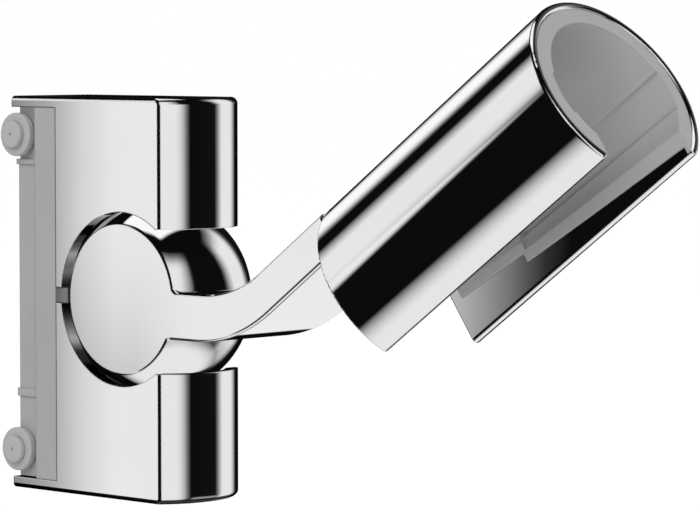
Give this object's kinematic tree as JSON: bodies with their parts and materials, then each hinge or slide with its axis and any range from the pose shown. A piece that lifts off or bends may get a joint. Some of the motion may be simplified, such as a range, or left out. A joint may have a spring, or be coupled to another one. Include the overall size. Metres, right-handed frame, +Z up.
{
  "type": "shower rail slider",
  "caption": "Chrome hand-shower slider for a wall rail: roller carriage in a slim split housing, friction drum with bent arm and a slotted sleeve with conical liner.",
  "frame": {"origin": "centre of the slider's back on the rail plane, level with the tilt axis", "axes": "+X out from the rail towards the room, +Z up along the rail, +Y to the far side of the picture"},
  "size_m": [0.1352, 0.0322, 0.0822],
  "materials": {
    "chrome": "polished plating",
    "grey_plastic": "fine satin",
    "steel": "plain",
    "pad_rubber": "matt"
  },
  "bodies": {
    "slider": {"upper_housing": "chrome", "lower_housing": "chrome", "guide_carriage": "grey_plastic", "upper_near_pin": "grey_plastic", "upper_far_pin": "grey_plastic", "lower_near_pin": "grey_plastic", "lower_far_pin": "grey_plastic", "upper_drum_seat": "grey_plastic", "lower_drum_seat": "grey_plastic", "tilt_brake_shoe": "grey_plastic", "housing_screws": "steel", "shoe_spring": "steel", "rail_brake_pads": "pad_rubber"},
    "tilt_holder": {"tilt_arm": "chrome", "holder_sleeve": "chrome", "sleeve_liner": "grey_plastic"},
    "upper_near_wheel": {"upper_near_roller": "grey_plastic"},
    "upper_far_wheel": {"upper_far_roller": "grey_plastic"},
    "lower_near_wheel": {"lower_near_roller": "grey_plastic"},
    "lower_far_wheel": {"lower_far_roller": "grey_plastic"}
  },
  "joints": [
    {"name": "holder_tilt", "type": "hinge", "parent": "slider", "child": "tilt_holder", "pos_m": [0.0268, 0, 0], "axis": [0, -1, 0], "range_deg": [-20, 34]},
    {"name": "upper_near_roller_spin", "type": "hinge", "parent": "slider", "child": "upper_near_wheel", "pos_m": [0.0007, -0.0085, 0.0269], "axis": [0, 1, 0], "continuous": true},
    {"name": "upper_far_roller_spin", "type": "hinge", "parent": "slider", "child": "upper_far_wheel", "pos_m": [0.0007, 0.0085, 0.0269], "axis": [0, 1, 0], "continuous": true},
    {"name": "lower_near_roller_spin", "type": "hinge", "parent": "slider", "child": "lower_near_wheel", "pos_m": [0.0007, -0.0085, -0.0269], "axis": [0, 1, 0], "continuous": true},
    {"name": "lower_far_roller_spin", "type": "hinge", "parent": "slider", "child": "lower_far_wheel", "pos_m": [0.0007, 0.0085, -0.0269], "axis": [0, 1, 0], "continuous": true}
  ]
}
